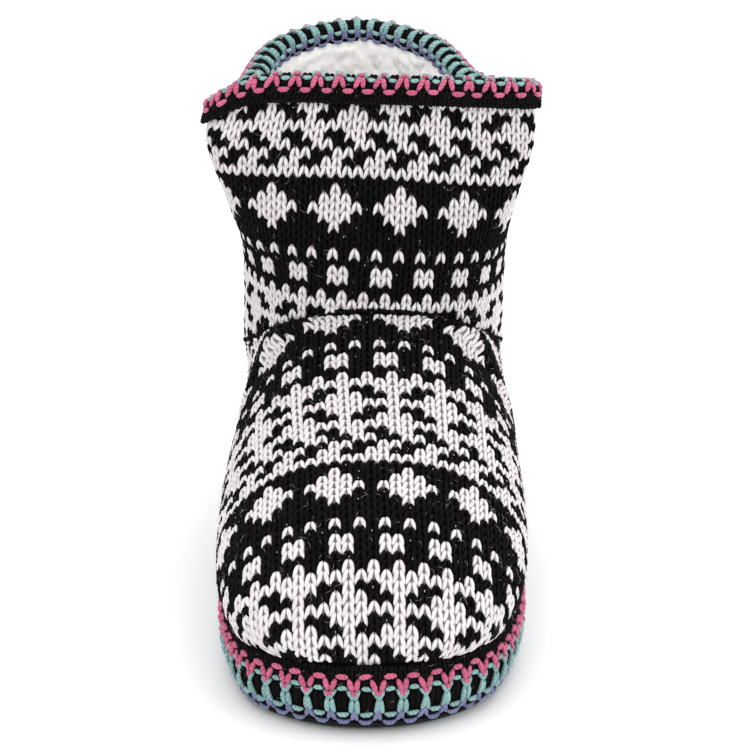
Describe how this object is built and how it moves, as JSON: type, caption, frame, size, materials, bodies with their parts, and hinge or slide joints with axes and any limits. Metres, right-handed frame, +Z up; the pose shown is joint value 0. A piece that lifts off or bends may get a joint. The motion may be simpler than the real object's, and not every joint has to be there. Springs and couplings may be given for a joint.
{
  "type": "knitted slipper boot",
  "caption": "Ankle-high knitted slipper boot in black and off-white with crochet trim round sole and collar, fleece lining and a soft flat sole.",
  "frame": {"origin": "on the floor under the middle of the boot's bounding box", "axes": "+Z up, toe towards -Y, heel towards +Y, inner side of the foot towards -X"},
  "size_m": [0.1102, 0.2576, 0.1687],
  "materials": {
    "sole": "matte, textile faced",
    "fleece": "curly pile",
    "knit": "stranded knit, soft",
    "tape": "knit, soft",
    "pink_yarn": "plied yarn",
    "teal_yarn": "plied yarn",
    "lilac_yarn": "plied yarn"
  },
  "bodies": {
    "root": {"outsole": "sole", "insole": "fleece", "upper": "knit", "sole_band": "tape", "sole_cord_pink": "pink_yarn", "sole_cord_teal": "teal_yarn", "sole_cord_lilac": "lilac_yarn", "collar_binding": "tape", "collar_cord_pink": "pink_yarn", "collar_cord_teal": "teal_yarn", "collar_cord_lilac": "lilac_yarn"}
  },
  "joints": []
}
